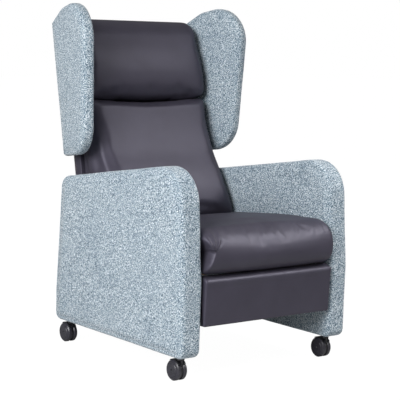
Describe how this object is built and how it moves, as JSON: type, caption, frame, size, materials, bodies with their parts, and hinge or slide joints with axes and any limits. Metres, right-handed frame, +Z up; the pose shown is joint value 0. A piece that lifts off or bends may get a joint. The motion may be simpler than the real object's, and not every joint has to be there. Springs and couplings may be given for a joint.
{
  "type": "patient recliner chair",
  "caption": "Wing-back patient recliner with upholstered side panels, reclining back coupled to a swing-out footrest, on twin-wheel swivel casters.",
  "frame": {"origin": "middle of the footprint on the floor, under the casters", "axes": "+Z up, the chair faces -Y, X = 0 is the plane of symmetry"},
  "size_m": [0.7166, 0.9116, 1.2094],
  "materials": {
    "tweed": "woven blue-grey melange upholstery",
    "leatherette": "satin charcoal artificial leather",
    "plywood": "raw birch plywood",
    "hardwood": "planed beech",
    "steel": "zinc plated",
    "spring_wire": "oiled spring steel",
    "caster_plastic": "moulded black nylon",
    "caster_tread": "moulded black polyurethane"
  },
  "bodies": {
    "base": {"caster_sockets": "steel", "caster_stems": "steel", "mechanism_screws": "steel", "left_base_rail": "hardwood", "left_arm_board": "plywood", "left_arm_cover": "tweed", "left_mechanism_plate": "steel", "right_base_rail": "hardwood", "right_arm_board": "plywood", "right_arm_cover": "tweed", "right_mechanism_plate": "steel", "front_cross_rail": "hardwood", "rear_cross_rail": "hardwood", "seat_left_rail": "hardwood", "seat_right_rail": "hardwood", "seat_front_rail": "hardwood", "seat_rear_rail": "hardwood", "seat_brackets": "steel", "seat_springs": "spring_wire", "spring_clips": "steel", "seat_cushion": "leatherette", "mechanism_pivot_pins": "steel"},
    "back": {"back_arm_bolts": "steel", "wing_bolts": "steel", "back_left_stile": "hardwood", "back_right_stile": "hardwood", "back_lower_rail": "hardwood", "back_upper_rail": "hardwood", "back_rear_panel": "leatherette", "back_cushion": "leatherette", "headrest_cushion": "leatherette", "left_wing_board": "plywood", "left_wing": "tweed", "left_back_arm": "steel", "right_wing_board": "plywood", "right_wing": "tweed", "right_back_arm": "steel", "drive_pins": "steel"},
    "drive_rods": {"drive_rods": "steel"},
    "rear_links": {"left_rear_link": "steel", "right_rear_link": "steel", "link_torque_tube": "steel", "link_pins": "steel"},
    "front_links": {"front_links": "steel"},
    "footrest": {"footrest_board": "plywood", "footrest_pad": "leatherette", "footrest_brackets": "steel", "footrest_pins": "steel"},
    "caster_front_left": {"caster_front_left_hood": "caster_plastic"},
    "caster_front_left_wheels": {"caster_front_left_axle": "steel", "caster_front_left_wheels": "caster_tread"},
    "caster_front_right": {"caster_front_right_hood": "caster_plastic"},
    "caster_front_right_wheels": {"caster_front_right_axle": "steel", "caster_front_right_wheels": "caster_tread"},
    "caster_rear_left": {"caster_rear_left_hood": "caster_plastic"},
    "caster_rear_left_wheels": {"caster_rear_left_axle": "steel", "caster_rear_left_wheels": "caster_tread"},
    "caster_rear_right": {"caster_rear_right_hood": "caster_plastic"},
    "caster_rear_right_wheels": {"caster_rear_right_axle": "steel", "caster_rear_right_wheels": "caster_tread"}
  },
  "joints": [
    {"name": "back_recline", "type": "hinge", "parent": "base", "child": "back", "pos_m": [0, 0.1322, 0.4], "axis": [-1, 0, 0], "range_deg": [0, 35]},
    {"name": "drive_rod_pivot", "type": "hinge", "parent": "back", "child": "drive_rods", "pos_m": [0, 0.1322, 0.32], "axis": [-1, 0, 0], "range_deg": [-37.5, 0]},
    {"name": "rear_link_swing", "type": "hinge", "parent": "base", "child": "rear_links", "pos_m": [0, -0.3328, 0.3], "axis": [-1, 0, 0], "range_deg": [0, 104]},
    {"name": "front_link_swing", "type": "hinge", "parent": "rear_links", "child": "front_links", "pos_m": [0, -0.3132, 0.1867], "axis": [-1, 0, 0], "range_deg": [-128, 0]},
    {"name": "footrest_tilt", "type": "hinge", "parent": "front_links", "child": "footrest", "pos_m": [0, -0.3838, 0.296], "axis": [-1, 0, 0], "range_deg": [0, 107]},
    {"name": "caster_front_left_swivel", "type": "hinge", "parent": "base", "child": "caster_front_left", "pos_m": [-0.3125, -0.3728, 0.075], "axis": [0, 0, 1], "continuous": true},
    {"name": "caster_front_left_spin", "type": "hinge", "parent": "caster_front_left", "child": "caster_front_left_wheels", "pos_m": [-0.3125, -0.3528, 0.034], "axis": [1, 0, 0], "continuous": true},
    {"name": "caster_front_right_swivel", "type": "hinge", "parent": "base", "child": "caster_front_right", "pos_m": [0.3125, -0.3728, 0.075], "axis": [0, 0, 1], "continuous": true},
    {"name": "caster_front_right_spin", "type": "hinge", "parent": "caster_front_right", "child": "caster_front_right_wheels", "pos_m": [0.3125, -0.3528, 0.034], "axis": [1, 0, 0], "continuous": true},
    {"name": "caster_rear_left_swivel", "type": "hinge", "parent": "base", "child": "caster_rear_left", "pos_m": [-0.3125, 0.2892, 0.075], "axis": [0, 0, 1], "continuous": true},
    {"name": "caster_rear_left_spin", "type": "hinge", "parent": "caster_rear_left", "child": "caster_rear_left_wheels", "pos_m": [-0.3125, 0.3092, 0.034], "axis": [1, 0, 0], "continuous": true},
    {"name": "caster_rear_right_swivel", "type": "hinge", "parent": "base", "child": "caster_rear_right", "pos_m": [0.3125, 0.2892, 0.075], "axis": [0, 0, 1], "continuous": true},
    {"name": "caster_rear_right_spin", "type": "hinge", "parent": "caster_rear_right", "child": "caster_rear_right_wheels", "pos_m": [0.3125, 0.3092, 0.034], "axis": [1, 0, 0], "continuous": true}
  ],
  "couplings": [
    {"joint": "drive_rod_pivot", "follows": "back_recline", "ratio": -1.0543},
    {"joint": "rear_link_swing", "follows": "back_recline", "ratio": 2.9429},
    {"joint": "front_link_swing", "follows": "back_recline", "ratio": -3.6286},
    {"joint": "footrest_tilt", "follows": "back_recline", "ratio": 3.0286}
  ]
}
